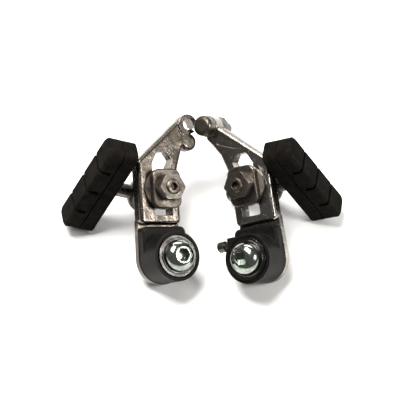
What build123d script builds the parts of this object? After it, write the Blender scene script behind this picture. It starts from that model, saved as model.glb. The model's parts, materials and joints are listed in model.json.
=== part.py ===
from build123d import *
import os
from math import cos, radians, sin

# A pair of low-profile cantilever rim brake units, lying on a table.
# Each unit is drawn in its own frame: +Z along the pivot axis towards the front, +Y up the arm,
# +X towards the brake pad, z = 0 at the face that meets the bicycle frame's boss.
# The left unit is the mirror image of the right one, apart from the ends of the arms.

# pivot
STUD_R = 4.0
SLEEVE_R = 4.7
SLEEVE_LEN = 16.0
LAND_LEN = 6.6
GROOVE_LEN = 1.4
GROOVE_R = 4.3
RUN_GAP = 0.05
BUSH_R = 5.4
BARREL_R = 6.5
BARREL_FRONT = 14.0
BOLT_R = 3.0
BOLT_TIP_Z = 7.2
BOLT_LEAD = 0.5
NECK_R = 2.7
NECK_BACK_Z = 15.4
RING_R = 8.3
RING_STEP_R = 7.3
RING_THICK = 1.3
RING_STEP = 0.9
DOME_R = 6.4
DOME_RIM = 0.8
DOME_TOP_R = 3.4
DOME_HEIGHT = 4.4
BOLT_KEY = 5.0
BOLT_KEY_DEPTH = 3.6

# arm forging
ARM_BACK = 0.4
FLANGE_FRONT = 3.0
FLANGE_R = 10.2
ARM_FRONT = 6.4
ARM_EDGE_ROUND = 1.5
ARM_BACK_ROUND = 0.8
ARM_BOTTOM_Y = 13.9
ARM_OVERLAP = 2.0
OUTER_X = 9.8
OUTER_TOP_Y = 39.6
INNER_X = -8.6
INNER_TOP_Y = 36.5
BEND_X = -11.2
BEND_Y = 44.5
HEEL_X = -17.2
HEEL_Y = 52.9
CREST_X = -12.4
CREST_Y = 58.4
OUTLINE_R = 2.2
SLOT_X = -0.7
SLOT_W = 8.2
SLOT_BOTTOM_Y = 17.4
SLOT_OUTER_TOP_Y = 38.6
SLOT_INNER_TOP_Y = 36.6
WINDOW_INNER_X = -5.9
WINDOW_INNER_Y = 40.2
WINDOW_TOP_Y = 43.2
WINDOW_TOP_INNER_X = -3.7
WINDOW_TOP_OUTER_X = 0.9
SLOT_CORNER_R = 0.8
TIP_X = -14.1
TIP_Y = 57.0
HOOK_Y = 54.8
TIP_R = 4.1
BOSS_R = 4.3
LOBE_X = -14.6
LOBE_Y = 47.8
LOBE_R = 3.7
TIP_BACK = 1.8
TAPER_START_Y = 38.0
TAPER_END_Y = 41.0
PANEL_DEPTH = 0.5
PANEL_TIP_X = -9.6
PANEL_TIP_Y = 53.0
PANEL_HEEL_X = -12.0
PANEL_HEEL_Y = 49.0
PANEL_INNER_X = -4.0
PANEL_INNER_Y = 45.8
PANEL_OUTER_X = 2.2
PANEL_OUTER_Y = 44.4
PANEL_CORNER_R = 0.7
SEAT_R = 2.3
SEAT_SLIT = 1.8
SEAT_SLIT_Y = -2.6
SEAT_SLIT_DEG = 32.0
HOOK_FRONT = 7.2
SWING_DEG = 40.0

# spring and its case
CASE_R = 10.0
CASE_HALF_W = 9.8
CASE_TOP_Y = 13.0
CASE_CORNER_R = 2.4
SKIRT_FRONT = 7.4
SKIRT_BEVEL = 0.84
CASE_FLOOR = 15.7
CASE_FRONT = 16.5
CASE_INNER_R = 8.7
CASE_CAVITY_TOP = 14.2
CASE_RIM_R = 8.8
CASE_EYE_R = 5.2
WIRE_R = 0.65
COIL_R = 7.5
COIL_START_Z = 4.6
COIL_PITCH = 2.0
COIL_TURNS = 4.0
TANG_DEG = 250.0
TANG_END_Z = -2.2
TANG_SLOT_SLACK_DEG = 4.0
TANG_SLOT_SLACK = 0.4
LEG_TIP_Z = 14.9
LEG_HOLE_R = 0.8
SCREW_Y = 6.8
SCREW_Z = 11.8
SCREW_R = 1.5
SCREW_HEAD_R = 2.2
SCREW_HEAD_LEN = 3.2
SCREW_LEN = 4.9
SCREW_STAND_OFF = 2.4
SCREW_KEY = 2.0
SCREW_KEY_DEPTH = 1.6
SCREW_HEAD_ROUND = 0.5
LUG_INNER_X = -9.0
LUG_HALF = 2.9
LUG_ROOT_X = -2.0
LUG_ROUND = 0.8

# pad clamp
PAD_Y = 29.0
BALL_Z = -8.9
BALL_R = 7.6
BALL_FLAT_Z = -14.9
EYE_SHANK_R = 3.0
EYE_TIP_Z = 16.2
EYE_KEY = 3.0
EYE_KEY_DEPTH = 2.2
SLIDE_GAP = 0.05
CUP_R = 6.9
CUP_BACK = -3.3
CUP_HOLE_R = 4.0
DISC_R = 8.2
DISC_HOLE_W = 8.8
DISC_HOLE_H = 6.6
CROWN_Z = 9.0
SADDLE_W = 12.6
SADDLE_H = 16.0
SADDLE_CORNER_R = 3.2
SADDLE_FRONT = 10.7
SADDLE_ROUND = 0.6
CUP_ROUND = 0.5
NUT_AF = 10.0
NUT_LEN = 4.7
NUT_BEVEL = 0.6

# post and pad
POST_R = 3.0
POST_LEN = 30.6
POST_LEAD = 0.4
RIVET_R = 2.2
PLATE_LEN = 38.0
PLATE_W = 6.0
PLATE_CORNER_R = 2.0
PLATE_THICK = 1.6
PLATE_DEPTH = 1.6
PAD_LEN = 46.0
PAD_W = 11.0
PAD_THICK = 12.5
PAD_BASE = 5.6
PAD_END_R = 3.4
PAD_NOTCH_W = 1.8
PAD_NOTCH_DEPTH = 5.0
PAD_BLOCKS = 4
PAD_GROOVE = 0.7
PAD_ROUND = 1.0

# cable anchor at the end of the right arm
ANCHOR_R = 2.5
ANCHOR_HEAD_R = 4.2
ANCHOR_HEAD_LEN = 4.8
ANCHOR_HEAD_ROUND = 1.8
ANCHOR_LEAD = 0.4
ANCHOR_WASHER_R = 4.4
ANCHOR_WASHER_THICK = 1.1
ANCHOR_NUT_AF = 8.0
ANCHOR_NUT_LEN = 4.0
ANCHOR_TAIL_Z = -8.5
ANCHOR_BOSS_FRONT = 6.8
CABLE_R = 0.95
CABLE_RISE = 1.5
SEP = 0.05
EDGE_BREAK = 0.25

# how each unit lies: mirrored, where its pivot is, its turn about X, Y and Z, and its pad's setting
UNITS = {
    "left": dict(mirrored=True, at=(-17.86, -21.17, 6.56), turn=(26.7, 29.7, 4.4),
                 height=-1.1, reach=15.0, swivel=10.9, twist=-34.1),
    "right": dict(mirrored=False, at=(26.33, -20.43, 6.85), turn=(33.7, -30.9, 9.8),
                  height=0.6, reach=11.7, swivel=-0.9, twist=-32.5),
}


def sleeve():
    """Steel sleeve on the frame's stud, with a grease groove between its two lands."""
    with BuildPart() as body:
        with BuildSketch():
            Circle(SLEEVE_R)
            Circle(STUD_R, mode=Mode.SUBTRACT)
        extrude(amount=SLEEVE_LEN)
        with BuildSketch(Plane.XY.offset(LAND_LEN)):
            Circle(GROOVE_R)
        extrude(amount=GROOVE_LEN, mode=Mode.SUBTRACT)
        chamfer(body.edges().filter_by(GeomType.CIRCLE).group_by(Axis.Z)[0].sort_by(SortBy.RADIUS)[-1], EDGE_BREAK)
    return body.part


def ring():
    """Stepped flange washer between the sleeve and the fixing bolt's head."""
    with BuildPart() as body:
        with BuildSketch(Plane.XY.offset(SLEEVE_LEN)):
            Circle(RING_R)
            Circle(BOLT_R + RUN_GAP, mode=Mode.SUBTRACT)
        extrude(amount=RING_STEP)
        with BuildSketch(Plane.XY.offset(SLEEVE_LEN + RING_STEP)):
            Circle(RING_STEP_R)
            Circle(BOLT_R + RUN_GAP, mode=Mode.SUBTRACT)
        extrude(amount=RING_THICK - RING_STEP)
        rims = body.edges().filter_by(GeomType.CIRCLE).filter_by(lambda e: e.radius > DOME_R)
        chamfer(rims.group_by(Axis.Z)[-1], EDGE_BREAK)
    return body.part


def fixing_bolt():
    """Domed socket bolt that holds the unit on the frame's boss."""
    base = SLEEVE_LEN + RING_THICK
    with BuildPart() as body:
        with BuildSketch(Plane.XZ):
            with BuildLine():
                Polyline((0, BOLT_TIP_Z), (BOLT_R - BOLT_LEAD, BOLT_TIP_Z), (BOLT_R, BOLT_TIP_Z + BOLT_LEAD),
                         (BOLT_R, NECK_BACK_Z), (NECK_R, NECK_BACK_Z), (NECK_R, base), (DOME_R, base),
                         (DOME_R, base + DOME_RIM))
                ThreePointArc((DOME_R, base + DOME_RIM), (0.88 * DOME_R, base + 0.66 * DOME_HEIGHT),
                              (DOME_TOP_R, base + DOME_HEIGHT))
                Polyline((DOME_TOP_R, base + DOME_HEIGHT), (0, base + DOME_HEIGHT), (0, BOLT_TIP_Z))
            make_face()
        revolve(axis=Axis.Z)
        with BuildSketch(Plane.XY.offset(base + DOME_HEIGHT)):
            RegularPolygon(BOLT_KEY / 2, 6, major_radius=False)
        extrude(amount=-BOLT_KEY_DEPTH, mode=Mode.SUBTRACT)
    return body.part


def spring():
    """Torsion spring round the arm's barrel, with a tang for the boss and a leg in the case."""
    coil_end_z = COIL_START_Z + COIL_PITCH * COIL_TURNS
    with BuildPart() as body:
        with BuildLine() as coil:
            Helix(COIL_PITCH, COIL_PITCH * COIL_TURNS, COIL_R, center=(0, 0, COIL_START_Z))
        with BuildSketch(Plane(coil.line @ 0, x_dir=(1, 0, 0), z_dir=coil.line % 0)):
            Circle(WIRE_R)
        sweep(path=coil.line, is_frenet=True)
        with Locations((COIL_R, 0, COIL_START_Z), (COIL_R, 0, coil_end_z)):
            Sphere(WIRE_R)
        with BuildSketch(Plane.XY.offset(TANG_END_Z)):
            with Locations((COIL_R, 0)):
                Circle(WIRE_R)
        extrude(amount=COIL_START_Z - TANG_END_Z)
        with BuildSketch(Plane.XY.offset(coil_end_z)):
            with Locations((COIL_R, 0)):
                Circle(WIRE_R)
        extrude(amount=LEG_TIP_Z - coil_end_z)
    return body.part.rotate(Axis.Z, TANG_DEG)


def bush():
    """Liner pressed in the arm's bore, running on the sleeve."""
    with BuildPart() as body:
        with BuildSketch(Plane.XY.offset(ARM_BACK)):
            Circle(BUSH_R)
            Circle(SLEEVE_R + RUN_GAP, mode=Mode.SUBTRACT)
        extrude(amount=BARREL_FRONT - ARM_BACK)
    return body.part


def arm_outline(hooked):
    """Edge of the upper arm: two straight sides, a bend, and a taper to the tip."""
    with BuildSketch() as face:
        with BuildLine():
            FilletPolyline((INNER_X, ARM_BOTTOM_Y), (INNER_X, INNER_TOP_Y), (BEND_X, BEND_Y), (HEEL_X, HEEL_Y),
                           (CREST_X, CREST_Y), (OUTER_X, OUTER_TOP_Y), (OUTER_X, ARM_BOTTOM_Y),
                           radius=OUTLINE_R, close=True)
        make_face()
        with Locations((TIP_X, HOOK_Y if hooked else TIP_Y)):
            Circle(TIP_R)
        if hooked:
            with Locations((LOBE_X, LOBE_Y)):
                Circle(LOBE_R)
    return face.sketch


def arm(hooked):
    """Forged arm: pivot barrel and flange, slotted upper arm, and the boss at its tip."""
    with BuildPart() as body:
        with BuildSketch(Plane.XY.offset(ARM_BACK)):
            add(arm_outline(hooked))
        extrude(amount=ARM_FRONT - ARM_BACK)
        fillet(body.faces().sort_by(Axis.Z)[-1].edges(), ARM_EDGE_ROUND)
        fillet(body.faces().sort_by(Axis.Z)[0].edges(), ARM_BACK_ROUND)
        with BuildSketch(Plane.XY.offset(ARM_BACK)):
            Circle(FLANGE_R)
            with BuildLine():
                Polyline((-FLANGE_R, 0), (FLANGE_R, 0), (OUTER_X, ARM_BOTTOM_Y + ARM_OVERLAP),
                         (INNER_X, ARM_BOTTOM_Y + ARM_OVERLAP), close=True)
            make_face()
        extrude(amount=FLANGE_FRONT - ARM_BACK)
        with BuildSketch(Plane.XY.offset(ARM_BACK)):
            Circle(BARREL_R)
        extrude(amount=BARREL_FRONT - ARM_BACK)
        # slot for the eyebolt, opening into a wide window under the bend
        with BuildSketch(Plane.XY.offset(ARM_BACK)) as window:
            with BuildLine():
                half = SLOT_W / 2
                Polyline((SLOT_X - half, SLOT_BOTTOM_Y), (SLOT_X + half, SLOT_BOTTOM_Y),
                         (SLOT_X + half, SLOT_OUTER_TOP_Y), (WINDOW_TOP_OUTER_X, WINDOW_TOP_Y),
                         (WINDOW_TOP_INNER_X, WINDOW_TOP_Y), (WINDOW_INNER_X, WINDOW_INNER_Y),
                         (SLOT_X - half, SLOT_INNER_TOP_Y), close=True)
            make_face()
            fillet(window.vertices(), SLOT_CORNER_R)
        extrude(amount=ARM_FRONT - ARM_BACK, mode=Mode.SUBTRACT)
        # the bore and the arc that the spring's tang moves in
        with BuildSketch(Plane.XY.offset(ARM_BACK)):
            Circle(BUSH_R)
        extrude(amount=BARREL_FRONT, mode=Mode.SUBTRACT)
        track = CenterArc((0, 0), COIL_R, TANG_DEG - TANG_SLOT_SLACK_DEG,
                          SWING_DEG + 2 * TANG_SLOT_SLACK_DEG, mode=Mode.PRIVATE)
        with BuildSketch(Plane.XY.offset(ARM_BACK)):
            SlotArc(track, 2 * (WIRE_R + TANG_SLOT_SLACK))
        extrude(amount=FLANGE_FRONT, mode=Mode.SUBTRACT)
        # the back rises towards the tip, which is thinner than the slotted part
        with BuildSketch(Plane.YZ):
            with BuildLine():
                Polyline((TAPER_START_Y, ARM_BACK), (TAPER_END_Y, TIP_BACK), (TIP_Y + 2 * TIP_R, TIP_BACK),
                         (TIP_Y + 2 * TIP_R, ARM_BACK), close=True)
            make_face()
        extrude(amount=TIP_Y, both=True, mode=Mode.SUBTRACT)
        # inset panel on the front of the sloping part
        with BuildSketch(Plane.XY.offset(ARM_FRONT - PANEL_DEPTH)):
            with BuildLine():
                FilletPolyline((PANEL_TIP_X, PANEL_TIP_Y), (PANEL_HEEL_X, PANEL_HEEL_Y),
                               (PANEL_INNER_X, PANEL_INNER_Y), (PANEL_OUTER_X, PANEL_OUTER_Y),
                               radius=PANEL_CORNER_R, close=True)
            make_face()
        extrude(amount=ARM_FRONT, mode=Mode.SUBTRACT)
        if hooked:
            # seat for a link wire's end, with the slit that the wire drops through
            with BuildSketch(Plane.XY.offset(TIP_BACK)):
                with Locations((TIP_X, HOOK_Y)):
                    Circle(TIP_R)
            extrude(amount=HOOK_FRONT - TIP_BACK)
            with BuildSketch(Plane.XY.offset(TIP_BACK)):
                with Locations((TIP_X, HOOK_Y)):
                    Circle(SEAT_R)
                with Locations((TIP_X - TIP_R, HOOK_Y + SEAT_SLIT_Y)):
                    Rectangle(2 * TIP_R, SEAT_SLIT, rotation=SEAT_SLIT_DEG)
            extrude(amount=HOOK_FRONT, mode=Mode.SUBTRACT)
        else:
            # boss for the cable anchor bolt
            with BuildSketch(Plane.XY.offset(TIP_BACK)):
                with Locations((TIP_X, TIP_Y)):
                    Circle(BOSS_R)
            extrude(amount=ANCHOR_BOSS_FRONT - TIP_BACK)
            with BuildSketch(Plane.XY.offset(TIP_BACK)):
                with Locations((TIP_X, TIP_Y)):
                    Circle(ANCHOR_R + RUN_GAP)
            extrude(amount=ANCHOR_BOSS_FRONT, mode=Mode.SUBTRACT)
    return body.part


def case_skirt():
    """Squared skirt of the spring's case, bevelled round its front."""
    with BuildPart() as body:
        with BuildSketch(Plane.XY.offset(FLANGE_FRONT)) as skirt:
            Circle(CASE_R)
            with Locations((0, CASE_TOP_Y / 2)):
                Rectangle(2 * CASE_HALF_W, CASE_TOP_Y)
            fillet(skirt.vertices().group_by(Axis.Y)[-1], CASE_CORNER_R)
        extrude(amount=SKIRT_FRONT - FLANGE_FRONT)
        chamfer(body.faces().sort_by(Axis.Z)[-1].edges(), SKIRT_BEVEL)
    return body.part


def case(with_lug):
    """Moulded case round the spring: a skirt against the arm and a round drum, with or without a lug."""
    skirt = case_skirt()
    with BuildPart() as body:
        with BuildSketch(Plane.XY.offset(FLANGE_FRONT)):
            Circle(CASE_R)
        extrude(amount=CASE_FRONT - FLANGE_FRONT)
        if with_lug:
            with BuildSketch(Plane.YZ.offset(LUG_INNER_X)):
                with Locations((SCREW_Y, SCREW_Z)):
                    RectangleRounded(2 * LUG_HALF, 2 * LUG_HALF, LUG_ROUND)
            extrude(amount=LUG_ROOT_X - LUG_INNER_X)
        add(skirt)
        with BuildSketch(Plane.XY.offset(FLANGE_FRONT)):
            Circle(CASE_INNER_R)
        extrude(amount=CASE_CAVITY_TOP - FLANGE_FRONT, mode=Mode.SUBTRACT)
        if with_lug:
            with BuildSketch(Plane.YZ.offset(LUG_INNER_X)):
                with Locations((SCREW_Y, SCREW_Z)):
                    Circle(SCREW_R + RUN_GAP)
            extrude(amount=SCREW_LEN, mode=Mode.SUBTRACT)
        with BuildSketch(Plane.XY.offset(CASE_FLOOR)):
            Circle(CASE_RIM_R)
        extrude(amount=CASE_FRONT, mode=Mode.SUBTRACT)
        with BuildSketch(Plane.XY.offset(FLANGE_FRONT)):
            Circle(CASE_EYE_R)
        extrude(amount=CASE_FRONT, mode=Mode.SUBTRACT)
        # blind hole for the spring's leg
        with BuildSketch(Plane.XY.offset(CASE_CAVITY_TOP)):
            with Locations((COIL_R * cos(radians(TANG_DEG)), COIL_R * sin(radians(TANG_DEG)))):
                Circle(LEG_HOLE_R)
        extrude(amount=LEG_TIP_Z - CASE_CAVITY_TOP, mode=Mode.SUBTRACT)
    return body.part


def tension_screw():
    """Socket screw in the case's lug that presses on the spring."""
    head_x = LUG_INNER_X - SCREW_STAND_OFF
    with BuildPart() as body:
        with BuildSketch(Plane.YZ.offset(head_x)):
            with Locations((SCREW_Y, SCREW_Z)):
                Circle(SCREW_HEAD_R)
        extrude(amount=-SCREW_HEAD_LEN)
        fillet(body.faces().sort_by(Axis.X)[0].edges(), SCREW_HEAD_ROUND)
        with BuildSketch(Plane.YZ.offset(head_x)):
            with Locations((SCREW_Y, SCREW_Z)):
                Circle(SCREW_R)
        extrude(amount=SCREW_LEN)
        with BuildSketch(Plane.YZ.offset(head_x - SCREW_HEAD_LEN)):
            with Locations((SCREW_Y, SCREW_Z)):
                RegularPolygon(SCREW_KEY / 2, 6, major_radius=False)
        extrude(amount=SCREW_KEY_DEPTH, mode=Mode.SUBTRACT)
    return body.part


def cup_washer():
    """Washer behind the arm, hollowed to seat the eyebolt's ball."""
    with BuildPart() as body:
        with BuildSketch(Plane.XY.offset(CUP_BACK)):
            with Locations((SLOT_X, PAD_Y)):
                Circle(CUP_R)
        extrude(amount=ARM_BACK - SLIDE_GAP - CUP_BACK)
        fillet(body.faces().sort_by(Axis.Z)[-1].edges(), CUP_ROUND)
        with BuildSketch(Plane.XY.offset(CUP_BACK)):
            with Locations((SLOT_X, PAD_Y)):
                Circle(CUP_HOLE_R)
        extrude(amount=ARM_BACK - CUP_BACK, mode=Mode.SUBTRACT)
        with Locations((SLOT_X, PAD_Y, BALL_Z)):
            Sphere(BALL_R + RUN_GAP, mode=Mode.SUBTRACT)
    return body.part


def seat_disc():
    """Round washer in front of the arm with a back that slides on it and a crowned front."""
    back = ARM_FRONT + SLIDE_GAP
    with BuildPart() as body:
        with BuildSketch(Plane.XY.offset(back)):
            with Locations((SLOT_X, PAD_Y)):
                Circle(DISC_R)
        extrude(amount=CROWN_Z - back)
        with BuildSketch(Plane.XZ.offset(-PAD_Y - DISC_R)):
            with Locations((SLOT_X, BALL_Z)):
                Circle(CROWN_Z - BALL_Z)
        extrude(amount=2 * DISC_R, mode=Mode.INTERSECT)
        with BuildSketch(Plane.XY.offset(back)):
            with Locations((SLOT_X, PAD_Y)):
                SlotOverall(DISC_HOLE_W, DISC_HOLE_H)
        extrude(amount=CROWN_Z, mode=Mode.SUBTRACT)
    return body.part


def saddle_washer():
    """Rounded block in front of the seat disc, hollowed behind to rock on its crown."""
    low = ARM_FRONT
    with BuildPart() as body:
        with BuildSketch(Plane.XY.offset(low)):
            with Locations((SLOT_X, PAD_Y)):
                RectangleRounded(SADDLE_W, SADDLE_H, SADDLE_CORNER_R)
        extrude(amount=SADDLE_FRONT - low)
        fillet(body.faces().sort_by(Axis.Z)[-1].edges(), SADDLE_ROUND)
        with BuildSketch(Plane.XZ.offset(-PAD_Y - SADDLE_H)):
            with Locations((SLOT_X, BALL_Z)):
                Circle(CROWN_Z - BALL_Z + SLIDE_GAP)
        extrude(amount=2 * SADDLE_H, mode=Mode.SUBTRACT)
        with BuildSketch(Plane.XY.offset(low)):
            with Locations((SLOT_X, PAD_Y)):
                Circle(EYE_SHANK_R + RUN_GAP)
        extrude(amount=SADDLE_FRONT, mode=Mode.SUBTRACT)
    return body.part


def hex_nut(x, y, back, across, length, bore_r, bevel):
    """Hexagon nut with bevelled corners, its axis along Z."""
    with BuildPart() as body:
        with BuildSketch(Plane.XY.offset(back)):
            with Locations((x, y)):
                RegularPolygon(across / 2, 6, major_radius=False)
        extrude(amount=length)
        with BuildSketch(Plane.XY.offset(back)):
            with Locations((x, y)):
                Circle(across / 2 + bevel + length)
        extrude(amount=length, taper=45, mode=Mode.INTERSECT)
        with BuildSketch(Plane.XY.offset(back)):
            with Locations((x, y)):
                Circle(bore_r)
        extrude(amount=length, mode=Mode.SUBTRACT)
    return body.part


def eyebolt(swivel):
    """Ball-headed bolt: the pad's post passes through the ball, the nut is on the shank."""
    with BuildPart() as body:
        with Locations((SLOT_X, PAD_Y, BALL_Z)):
            Sphere(BALL_R)
        with BuildSketch(Plane.XY.offset(BALL_FLAT_Z)):
            with Locations((SLOT_X, PAD_Y)):
                Circle(2 * BALL_R)
        extrude(amount=-BALL_R, mode=Mode.SUBTRACT)
        with BuildSketch(Plane.XY.offset(BALL_Z)):
            with Locations((SLOT_X, PAD_Y)):
                Circle(EYE_SHANK_R)
        extrude(amount=EYE_TIP_Z - BALL_Z)
        chamfer(body.faces().sort_by(Axis.Z)[-1].edges(), BOLT_LEAD)
        with BuildSketch(Plane.XY.offset(EYE_TIP_Z)):
            with Locations((SLOT_X, PAD_Y)):
                RegularPolygon(EYE_KEY / 2, 6, major_radius=False)
        extrude(amount=-EYE_KEY_DEPTH, mode=Mode.SUBTRACT)
        with BuildSketch(post_plane(swivel)):
            Circle(POST_R + RUN_GAP)
        extrude(amount=2 * BALL_R, both=True, mode=Mode.SUBTRACT)
    return body.part


def post_plane(swivel):
    """Plane across the post at the ball's centre; its normal points to the pad."""
    angle = radians(swivel)
    return Plane((SLOT_X, PAD_Y, BALL_Z), x_dir=(0, 0, -1), z_dir=(cos(angle), sin(angle), 0))


def pad_plane(unit):
    """Plane at the pad's back; local X runs along the pad towards its rear end."""
    back = post_plane(unit["swivel"]).offset(unit["reach"])
    twist = radians(unit["twist"])
    along = back.x_dir * cos(twist) + back.y_dir * sin(twist)
    return Plane(back.origin, x_dir=along, z_dir=back.z_dir)


def pad_post(unit):
    """Plain steel post with a riveted end inside the pad."""
    plane = pad_plane(unit)
    with BuildPart() as body:
        with BuildSketch(plane.offset(PLATE_DEPTH - POST_LEN)):
            Circle(POST_R)
        extrude(amount=POST_LEN)
        chamfer(body.faces().sort_by(Axis.X)[0].edges(), POST_LEAD)
        with BuildSketch(plane.offset(PLATE_DEPTH)):
            Circle(RIVET_R)
        extrude(amount=PLATE_THICK)
    return body.part


def backing_plate(unit):
    """Steel plate moulded into the pad, riveted on the post."""
    with BuildPart() as body:
        with BuildSketch(pad_plane(unit).offset(PLATE_DEPTH)):
            RectangleRounded(PLATE_LEN, PLATE_W, PLATE_CORNER_R)
            Circle(RIVET_R + RUN_GAP, mode=Mode.SUBTRACT)
        extrude(amount=PLATE_THICK)
    return body.part


def brake_pad(unit):
    """Moulded friction block: base, four lands and three cross notches, round the plate."""
    plane = pad_plane(unit)
    pitch = PAD_LEN / PAD_BLOCKS
    with BuildPart() as body:
        with BuildSketch(plane):
            RectangleRounded(PAD_LEN, PAD_W, PAD_END_R)
        extrude(amount=PAD_THICK)
        chamfer(body.faces().sort_by(lambda f: plane.to_local_coords(f.center()).Z)[-1].edges(), PAD_ROUND)
        with BuildSketch(plane.offset(PAD_THICK - PAD_NOTCH_DEPTH)):
            with GridLocations(pitch, 1, PAD_BLOCKS - 1, 1):
                Rectangle(PAD_NOTCH_W, 2 * PAD_W)
        extrude(amount=PAD_NOTCH_DEPTH, mode=Mode.SUBTRACT)
        with BuildSketch(plane.offset(PAD_BASE)):
            RectangleRounded(PAD_LEN + 2, PAD_W + 2, PAD_END_R + 1)
            RectangleRounded(PAD_LEN - 2 * PAD_GROOVE, PAD_W - 2 * PAD_GROOVE, PAD_END_R - PAD_GROOVE,
                             mode=Mode.SUBTRACT)
        extrude(amount=PAD_GROOVE, mode=Mode.SUBTRACT)
        with BuildSketch(plane.offset(PLATE_DEPTH)):
            RectangleRounded(PLATE_LEN, PLATE_W, PLATE_CORNER_R)
        extrude(amount=PLATE_THICK, mode=Mode.SUBTRACT)
        with BuildSketch(plane):
            Circle(POST_R + RUN_GAP)
        extrude(amount=PLATE_DEPTH, mode=Mode.SUBTRACT)
    return body.part


def anchor_bolt():
    """Bolt with a domed head drilled across for the brake cable."""
    head_back = ANCHOR_BOSS_FRONT + ANCHOR_WASHER_THICK + 2 * SEP
    with BuildPart() as body:
        with BuildSketch(Plane.XY.offset(head_back)):
            with Locations((TIP_X, TIP_Y)):
                Circle(ANCHOR_HEAD_R)
        extrude(amount=ANCHOR_HEAD_LEN)
        fillet(body.faces().sort_by(Axis.Z)[-1].edges(), ANCHOR_HEAD_ROUND)
        with BuildSketch(Plane.XY.offset(head_back)):
            with Locations((TIP_X, TIP_Y)):
                Circle(ANCHOR_R)
        extrude(amount=ANCHOR_TAIL_Z - head_back)
        chamfer(body.faces().sort_by(Axis.Z)[0].edges(), ANCHOR_LEAD)
        with BuildSketch(Plane.XZ.offset(-TIP_Y)):
            with Locations((TIP_X, head_back + CABLE_RISE)):
                Circle(CABLE_R)
        extrude(amount=2 * ANCHOR_HEAD_R, both=True, mode=Mode.SUBTRACT)
    return body.part


def anchor_washer(back, thick):
    """Plain washer on the anchor bolt."""
    with BuildPart() as body:
        with BuildSketch(Plane.XY.offset(back)):
            with Locations((TIP_X, TIP_Y)):
                Circle(ANCHOR_WASHER_R)
                Circle(ANCHOR_R + RUN_GAP, mode=Mode.SUBTRACT)
        extrude(amount=thick)
        chamfer(body.faces().sort_by(Axis.Z)[-1].edges().sort_by(SortBy.RADIUS)[-1], EDGE_BREAK)
    return body.part


def unit_pieces(side):
    """Every piece of one unit in the unit's own frame, by name."""
    unit = UNITS[side]
    hooked = unit["mirrored"]
    pieces = {
        "pivot_sleeve": sleeve(),
        "bolt_washer": ring(),
        "fixing_bolt": fixing_bolt(),
        "return_spring": spring(),
        "pivot_bush": bush(),
        "arm": arm(hooked),
        "spring_case": case(not hooked),
    }
    clamped = {
        "cup_washer": cup_washer(),
        "seat_washer": seat_disc(),
        "toe_in_washer": saddle_washer(),
        "clamp_nut": hex_nut(SLOT_X, PAD_Y, SADDLE_FRONT, NUT_AF, NUT_LEN, EYE_SHANK_R + RUN_GAP, NUT_BEVEL),
        "eyebolt": eyebolt(unit["swivel"]),
        "pad_post": pad_post(unit),
        "backing_plate": backing_plate(unit),
        "brake_pad": brake_pad(unit),
    }
    for name, piece in clamped.items():
        pieces[name] = piece.moved(Location((0, unit["height"], 0)))
    if not hooked:
        nut_back = TIP_BACK - 2 * SEP - ANCHOR_WASHER_THICK - ANCHOR_NUT_LEN
        pieces["tension_screw"] = tension_screw()
        pieces["anchor_bolt"] = anchor_bolt()
        pieces["anchor_washer"] = anchor_washer(ANCHOR_BOSS_FRONT + SEP, ANCHOR_WASHER_THICK)
        pieces["anchor_back_washer"] = anchor_washer(TIP_BACK - SEP - ANCHOR_WASHER_THICK, ANCHOR_WASHER_THICK)
        pieces["anchor_nut"] = hex_nut(TIP_X, TIP_Y, nut_back, ANCHOR_NUT_AF, ANCHOR_NUT_LEN,
                                       ANCHOR_R + RUN_GAP, NUT_BEVEL)
    return pieces


def place(side):
    """Where a unit's own frame stands in the whole object's frame."""
    unit = UNITS[side]
    return Location(unit["at"], unit["turn"])


def build():
    """Every node, placed, labelled and ready to write."""
    nodes = {}
    for side, unit in UNITS.items():
        for name, piece in unit_pieces(side).items():
            shape = mirror(piece, Plane.YZ) if unit["mirrored"] else piece
            node = place(side) * shape
            node.label = f"{side}_{name}"
            nodes[node.label] = node
    return nodes


if __name__ == "__main__":
    os.makedirs("parts", exist_ok=True)
    for label, node in build().items():
        export_step(node, f"parts/{label}.step")
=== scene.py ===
import json
import math

import bpy
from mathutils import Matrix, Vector


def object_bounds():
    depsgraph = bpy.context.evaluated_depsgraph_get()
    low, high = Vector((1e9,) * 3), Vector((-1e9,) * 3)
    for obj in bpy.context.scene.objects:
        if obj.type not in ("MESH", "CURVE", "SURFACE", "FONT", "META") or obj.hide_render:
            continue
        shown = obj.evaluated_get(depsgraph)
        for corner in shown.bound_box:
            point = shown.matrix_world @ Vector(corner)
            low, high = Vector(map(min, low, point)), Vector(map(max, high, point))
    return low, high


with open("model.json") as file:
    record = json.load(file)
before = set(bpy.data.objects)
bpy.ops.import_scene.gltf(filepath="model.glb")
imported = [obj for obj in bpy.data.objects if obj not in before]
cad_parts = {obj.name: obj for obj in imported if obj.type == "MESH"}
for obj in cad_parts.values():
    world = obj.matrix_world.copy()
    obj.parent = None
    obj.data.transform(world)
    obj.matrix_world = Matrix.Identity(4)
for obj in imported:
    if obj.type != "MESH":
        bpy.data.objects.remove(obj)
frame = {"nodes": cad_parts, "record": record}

CAD_BOX = [list(corner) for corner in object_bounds()]
NODES = frame["nodes"]
MM = 0.001
BEVEL_SAMPLES = 6


# ---------------------------------------------------------------- material nodes

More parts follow.
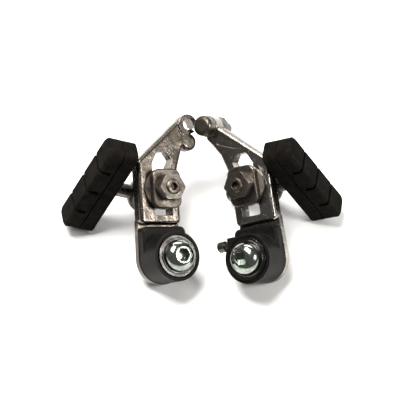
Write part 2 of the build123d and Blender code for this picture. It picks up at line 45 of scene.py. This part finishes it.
class Shade:
    """A principled material with short calls for its procedural nodes."""

    def __init__(self, name, **constants):
        self.mat = bpy.data.materials.new(name)
        self.mat.use_nodes = True
        self.tree = self.mat.node_tree
        self.bsdf = self.tree.nodes["Principled BSDF"]
        for socket, value in constants.items():
            self.bsdf.inputs[socket.replace("_", " ")].default_value = value
        self.coord = self.tree.nodes.new("ShaderNodeTexCoord").outputs["Object"]

    def node(self, kind, **props):
        made = self.tree.nodes.new(kind)
        for key, value in props.items():
            setattr(made, key, value)
        return made

    def put(self, socket, value):
        if isinstance(value, bpy.types.NodeSocket):
            self.tree.links.new(value, socket)
        else:
            socket.default_value = value

    def stretched(self, scale, turn=(0, 0, 0)):
        node = self.node("ShaderNodeMapping")
        self.put(node.inputs["Vector"], self.coord)
        node.inputs["Scale"].default_value = scale
        node.inputs["Rotation"].default_value = turn
        return node.outputs["Vector"]

    def noise(self, scale, detail=4.0, rough=0.55, where=None, distort=0.0):
        node = self.node("ShaderNodeTexNoise")
        self.put(node.inputs["Vector"], where or self.coord)
        node.inputs["Scale"].default_value = scale
        node.inputs["Detail"].default_value = detail
        node.inputs["Roughness"].default_value = rough
        node.inputs["Distortion"].default_value = distort
        return node.outputs["Fac"]

    def cells(self, scale):
        node = self.node("ShaderNodeTexVoronoi", feature="F1")
        self.put(node.inputs["Vector"], self.coord)
        node.inputs["Scale"].default_value = scale
        return node.outputs["Distance"]

    def span(self, value, low, high, to_low=0.0, to_high=1.0):
        node = self.node("ShaderNodeMapRange", interpolation_type="SMOOTHSTEP")
        self.put(node.inputs["Value"], value)
        limits = {"From Min": low, "From Max": high, "To Min": to_low, "To Max": to_high}
        for key, number in limits.items():
            node.inputs[key].default_value = number
        return node.outputs["Result"]

    def math(self, operation, first, second=0.0):
        node = self.node("ShaderNodeMath", operation=operation)
        self.put(node.inputs[0], first)
        self.put(node.inputs[1], second)
        return node.outputs[0]

    def mix(self, amount, first, second):
        node = self.node("ShaderNodeMix", data_type="RGBA")
        self.put(node.inputs["Factor"], amount)
        self.put(node.inputs["A"], first)
        self.put(node.inputs["B"], second)
        return node.outputs["Result"]

    def edges(self, radius, low=0.02, high=0.25):
        """1 on convex and concave edges, 0 on flat ground."""
        bevel = self.node("ShaderNodeBevel", samples=BEVEL_SAMPLES)
        bevel.inputs["Radius"].default_value = radius
        geometry = self.node("ShaderNodeNewGeometry")
        dot = self.node("ShaderNodeVectorMath", operation="DOT_PRODUCT")
        self.put(dot.inputs[0], bevel.outputs["Normal"])
        self.put(dot.inputs[1], geometry.outputs["Normal"])
        return self.span(self.math("SUBTRACT", 1.0, dot.outputs["Value"]), low, high)

    def bump(self, height, depth, strength=1.0, rounding=0.0):
        """Normal for a height in 0..1 of the given depth, on edges rounded by a radius."""
        node = self.node("ShaderNodeBump")
        node.inputs["Strength"].default_value = strength
        node.inputs["Distance"].default_value = depth
        self.put(node.inputs["Height"], height)
        if rounding:
            bevel = self.node("ShaderNodeBevel", samples=BEVEL_SAMPLES)
            bevel.inputs["Radius"].default_value = rounding
            self.put(node.inputs["Normal"], bevel.outputs["Normal"])
        return node.outputs["Normal"]

    def finish(self, color, rough, normal):
        self.put(self.bsdf.inputs["Base Color"], color)
        self.put(self.bsdf.inputs["Roughness"], rough)
        self.put(self.bsdf.inputs["Normal"], normal)
        return self.mat


def tone(value, warm=0.0):
    """A grey of the given brightness, tinted towards red and away from blue by warm."""
    return (value * (1 + warm), value, value * (1 - warm), 1.0)


FRECKLE = tone(0.06, 0.3)


def forged(name, light, dark, grime):
    """Polished forging dulled by use: ripples, fine scratches, pits, and grime in patches."""
    s = Shade(name, Metallic=1.0)
    ripple = s.noise(160, 3, 0.5)
    clouds = s.noise(55, 5, 0.6, distort=0.6)
    scratch = s.noise(900, 3, 0.6, s.stretched((1, 0.06, 1), (0.3, 0.2, 0.5)))
    scratch_b = s.noise(1100, 3, 0.6, s.stretched((0.07, 1, 1), (0.1, -0.4, 0.9)))
    pits = s.span(s.cells(1500), 0.10, 0.03)
    spots = s.math("MULTIPLY", pits, s.span(s.noise(240, 3), 0.55, 0.68))
    worn = s.edges(0.5 * MM)
    stain = s.span(clouds, 0.42, 0.66)
    color = s.mix(stain, light, dark)
    color = s.mix(s.math("MULTIPLY", spots, 0.8), color, grime)
    patches = s.span(s.noise(420, 4, 0.7), 0.56, 0.72)
    color = s.mix(s.math("MULTIPLY", patches, 0.55), color, grime)
    color = s.mix(s.math("MULTIPLY", worn, 0.45), color, light)
    lines = s.math("MAXIMUM", s.span(scratch, 0.60, 0.72), s.span(scratch_b, 0.62, 0.74))
    rough = s.math("ADD", s.span(clouds, 0.3, 0.75, 0.16, 0.36), s.math("MULTIPLY", lines, 0.14))
    rough = s.math("ADD", rough, s.math("MULTIPLY", spots, 0.4))
    height = s.math("SUBTRACT", ripple, s.math("MULTIPLY", lines, 0.05))
    height = s.math("SUBTRACT", height, s.math("MULTIPLY", spots, 0.12))
    return s.finish(color, rough, s.bump(height, 0.35 * MM, 0.8, 0.35 * MM))


def plated(name, light, dark, rust, rough_low=0.22, rough_high=0.48, amount=0.5):
    """Plated or bare steel hardware: dulled plating, stains, patches of rust and turning marks."""
    s = Shade(name, Metallic=1.0)
    clouds = s.noise(220, 5, 0.65, distort=0.4)
    fine = s.noise(1600, 4, 0.6)
    turned = s.noise(2400, 2, 0.5, s.stretched((1, 1, 0.1)))
    corrosion = s.math("MULTIPLY", s.span(s.noise(330, 6, 0.75), 0.50, 0.68), amount)
    worn = s.edges(0.3 * MM)
    color = s.mix(s.span(clouds, 0.38, 0.66), light, dark)
    color = s.mix(corrosion, color, rust)
    color = s.mix(s.math("MULTIPLY", worn, 0.55), color, light)
    rough = s.span(clouds, 0.3, 0.7, rough_low, rough_high)
    rough = s.math("ADD", rough, s.math("MULTIPLY", corrosion, 0.3))
    height = s.math("ADD", s.math("MULTIPLY", fine, 0.5), s.math("MULTIPLY", turned, 0.5))
    height = s.math("ADD", height, s.math("MULTIPLY", corrosion, 1.2))
    return s.finish(color, rough, s.bump(height, 0.06 * MM, 0.8, 0.22 * MM))


def bright_chrome(name, light, dark):
    """Chrome with fine polishing haze and a few dark freckles."""
    s = Shade(name, Metallic=1.0)
    haze = s.noise(300, 5, 0.6, distort=0.5)
    dots = s.span(s.cells(1100), 0.16, 0.05)
    freckles = s.math("MULTIPLY", dots, s.span(s.noise(350, 3), 0.52, 0.64))
    color = s.mix(s.span(haze, 0.4, 0.7), light, dark)
    color = s.mix(s.math("MULTIPLY", freckles, 0.7), color, FRECKLE)
    rough = s.math("ADD", s.span(haze, 0.35, 0.7, 0.10, 0.24), s.math("MULTIPLY", freckles, 0.4))
    height = s.math("SUBTRACT", s.noise(500, 3), s.math("MULTIPLY", freckles, 0.3))
    return s.finish(color, rough, s.bump(height, 0.05 * MM, 0.7, 0.25 * MM))


def moulded_case(name):
    """Black moulded plastic: faint flow, satin skin, scuffed pale edges and dust."""
    s = Shade(name, Specular_IOR_Level=0.05)
    skin = s.noise(2600, 3, 0.6)
    flow = s.noise(120, 4, 0.6, s.stretched((1, 1, 3)))
    drag = s.stretched((1, 0.12, 1), (0.4, 0, 0.7))
    scuffs = s.span(s.noise(700, 4, 0.7, drag), 0.60, 0.74)
    dust = s.span(s.noise(260, 6, 0.7), 0.55, 0.78)
    worn = s.edges(0.35 * MM, 0.02, 0.2)
    color = s.mix(s.span(flow, 0.35, 0.7), tone(0.0045, 0.08), tone(0.0080, 0.10))
    color = s.mix(s.math("MULTIPLY", dust, 0.3), color, tone(0.026, 0.10))
    marks = s.math("MULTIPLY", s.math("MAXIMUM", s.math("MULTIPLY", scuffs, 0.5), worn), 0.45)
    color = s.mix(marks, color, tone(0.045, 0.06))
    rough = s.math("ADD", s.span(flow, 0.3, 0.7, 0.30, 0.44), s.math("MULTIPLY", dust, 0.22))
    height = s.math("ADD", skin, s.math("MULTIPLY", flow, 0.6))
    return s.finish(color, rough, s.bump(height, 0.05 * MM, 0.7, 0.3 * MM))


def friction_block(name):
    """Matt moulded friction compound: coarse grain, chalky bloom and rubbed edges."""
    s = Shade(name, Specular_IOR_Level=0.02)
    grain = s.noise(1500, 5, 0.75)
    lumps = s.noise(260, 4, 0.6)
    crumbs = s.span(s.cells(900), 0.32, 0.10)
    bloom = s.span(s.noise(90, 6, 0.7, distort=0.8), 0.48, 0.74)
    worn = s.edges(0.6 * MM, 0.02, 0.3)
    color = s.mix(s.span(lumps, 0.35, 0.65), tone(0.0034, 0.16), tone(0.0066, 0.18))
    color = s.mix(s.math("MULTIPLY", bloom, 0.35), color, tone(0.013, 0.16))
    color = s.mix(s.math("MULTIPLY", crumbs, 0.18), color, tone(0.026, 0.10))
    color = s.mix(s.math("MULTIPLY", worn, 0.30), color, tone(0.024, 0.12))
    rough = s.span(grain, 0.3, 0.7, 0.62, 0.92)
    height = s.math("ADD", s.math("MULTIPLY", grain, 0.8), s.math("MULTIPLY", crumbs, 0.25))
    height = s.math("ADD", height, s.math("MULTIPLY", lumps, 0.8))
    return s.finish(color, rough, s.bump(height, 0.16 * MM, 0.9, 0.35 * MM))


def liner(name):
    """Dark slippery bearing plastic with grease smears."""
    s = Shade(name)
    smear = s.noise(300, 4, 0.6)
    color = s.mix(s.span(smear, 0.4, 0.65), tone(0.05, 0.05), tone(0.09, 0.1))
    rough = s.span(smear, 0.35, 0.7, 0.25, 0.5)
    return s.finish(color, rough, s.bump(s.noise(1500, 3), 0.03 * MM, 0.6))


# ---------------------------------------------------------------- materials of this part

GRIME = tone(0.025, 0.25)
RUST_ON_HARDWARE = (0.030, 0.018, 0.009, 1)
RUST_ON_BRIGHT = (0.04, 0.025, 0.013, 1)
RUST_ON_DARK = (0.020, 0.012, 0.007, 1)
RUST_ON_SPRING = (0.03, 0.018, 0.01, 1)
RUST_ON_RING = (0.02, 0.013, 0.008, 1)
CHROME_LIGHT = (0.36, 0.39, 0.35, 1)
CHROME_DARK = (0.17, 0.19, 0.165, 1)

# The two arms are one alloy in two colours: the right arm's lighter, greyer tone is painted light
# and the left arm's duller, browner tone is painted shade.
FORGED_LIT_AND_SHADED = {
    "left": forged("forged_alloy_left_shaded", tone(0.145, 0.14), tone(0.066, 0.22), GRIME),
    "right": forged("forged_alloy_right_lit", tone(0.27, 0.07), tone(0.12, 0.13), tone(0.035, 0.22)),
}
LOOK = {
    "alloy_washer": forged("alloy_washer", tone(0.14, 0.08), tone(0.075, 0.12), GRIME),
    "steel": plated("plated_hardware", tone(0.120, 0.13), tone(0.056, 0.20), RUST_ON_HARDWARE),
    "plated_steel": plated("bright_hardware", tone(0.20, 0.03), tone(0.09, 0.08), RUST_ON_BRIGHT,
                           rough_low=0.16, rough_high=0.36, amount=0.3),
    "dark_steel": plated("dark_hardware", tone(0.10, 0.06), tone(0.035, 0.10), RUST_ON_DARK,
                         rough_low=0.28),
    "spring_steel": plated("spring_wire", tone(0.14, 0.03), tone(0.07, 0.06), RUST_ON_SPRING,
                           rough_low=0.25, rough_high=0.45, amount=0.3),
    "chrome": bright_chrome("chrome_dome", CHROME_LIGHT, CHROME_DARK),
    "case": moulded_case("moulded_case"),
    "bush": liner("bearing_liner"),
    "friction_rubber": friction_block("friction_block"),
}
RING = plated("flange_ring", tone(0.085, 0.04), tone(0.035, 0.08), RUST_ON_RING,
              rough_low=0.14, rough_high=0.30, amount=0.25)


def dress(obj, material):
    obj.data.materials.clear()
    obj.data.materials.append(material)


def look_of(node_name, slot):
    """The material of a CAD node: its slot's, except on the flange rings and the arms, which get a
    painted lit and a painted shaded copy of one alloy.
    """
    if slot == "forged_alloy":
        # the right arm gets the painted lit copy of the alloy, the left arm the painted shaded copy
        return FORGED_LIT_AND_SHADED[node_name.split("_")[0]]
    if node_name.endswith("bolt_washer"):
        return RING
    return LOOK[slot]


for subpart in frame["record"]["subparts"]:
    dress(NODES[subpart["node"]], look_of(subpart["node"], subpart["material_slot"]))


# ---------------------------------------------------------------- floor, light and camera

FLOOR_HALF = 1.5
FLOOR_DROP = 0.05 * MM  # keeps the floor clear of the lowest faces
WORLD_COLOR = (1.0, 0.99, 0.97, 1)
WORLD_STRENGTH = 0.16
LAMPS = {
    # name: position, target, size, watts, tint
    "key": ((-0.14, 0.10, 0.58), (0, 0, 0.02), (0.30, 0.30), 8.0, (1.0, 0.98, 0.95)),
    "fill": ((0.45, -0.20, 0.42), (0, 0, 0.02), (0.22, 0.16), 2.6, (1.0, 0.99, 0.96)),
    "rim": ((0.05, 0.50, 0.35), (0, 0, 0.03), (0.50, 0.15), 1.6, (1, 1, 1)),
}
CAMERA_ELEVATION = math.radians(54.5)
CAMERA_TARGET = Vector((-0.00085, 0.01338, 0.0))
CAMERA_LENS = 150.0
VIEW_WIDTH = 0.1675


def floor_material():
    s = Shade("pale_floor", Specular_IOR_Level=0.2)
    color = s.mix(s.noise(6, 3), tone(0.86, 0.004), tone(0.90, 0.004))
    rough = s.span(s.noise(300, 3), 0.3, 0.7, 0.75, 0.85)
    return s.finish(color, rough, s.bump(s.noise(900, 3), 0.02 * MM, 0.3))


def add_floor():
    mesh = bpy.data.meshes.new("floor")
    corners = [(x * FLOOR_HALF, y * FLOOR_HALF, 0) for x, y in ((-1, -1), (1, -1), (1, 1), (-1, 1))]
    mesh.from_pydata(corners, [], [(0, 1, 2, 3)])
    floor = bpy.data.objects.new("floor", mesh)
    bpy.context.scene.collection.objects.link(floor)
    dress(floor, floor_material())
    floor.location.z = CAD_BOX[0][2] - FLOOR_DROP


def add_area(name, where, target, size, watts, tint):
    """A rectangular lamp at a place, facing its target."""
    lamp = bpy.data.lights.new(name, "AREA")
    lamp.shape = "RECTANGLE"
    lamp.size, lamp.size_y = size
    lamp.energy = watts
    lamp.color = tint
    obj = bpy.data.objects.new(name, lamp)
    bpy.context.scene.collection.objects.link(obj)
    obj.location = where
    obj.rotation_euler = (Vector(target) - Vector(where)).to_track_quat("-Z", "Y").to_euler()


def add_world():
    world = bpy.data.worlds.new("studio")
    bpy.context.scene.world = world
    world.use_nodes = True
    tree = world.node_tree
    background = tree.nodes["Background"]
    background.inputs["Color"].default_value = WORLD_COLOR
    background.inputs["Strength"].default_value = WORLD_STRENGTH


def add_camera():
    """Looks down at the target from the front; VIEW_WIDTH is the picture's width there."""
    camera_data = bpy.data.cameras.new("camera")
    camera_data.lens = CAMERA_LENS
    camera = bpy.data.objects.new("camera", camera_data)
    bpy.context.scene.collection.objects.link(camera)
    distance = VIEW_WIDTH * CAMERA_LENS / camera_data.sensor_width
    back = Vector((0, -math.cos(CAMERA_ELEVATION), math.sin(CAMERA_ELEVATION)))
    camera.location = CAMERA_TARGET + back * distance
    camera.rotation_euler = (-back).to_track_quat("-Z", "Y").to_euler()
    bpy.context.scene.camera = camera


add_camera()
add_floor()
add_world()
for lamp_name, settings in LAMPS.items():
    add_area(lamp_name, *settings)
bpy.context.scene.view_settings.view_transform = "Standard"
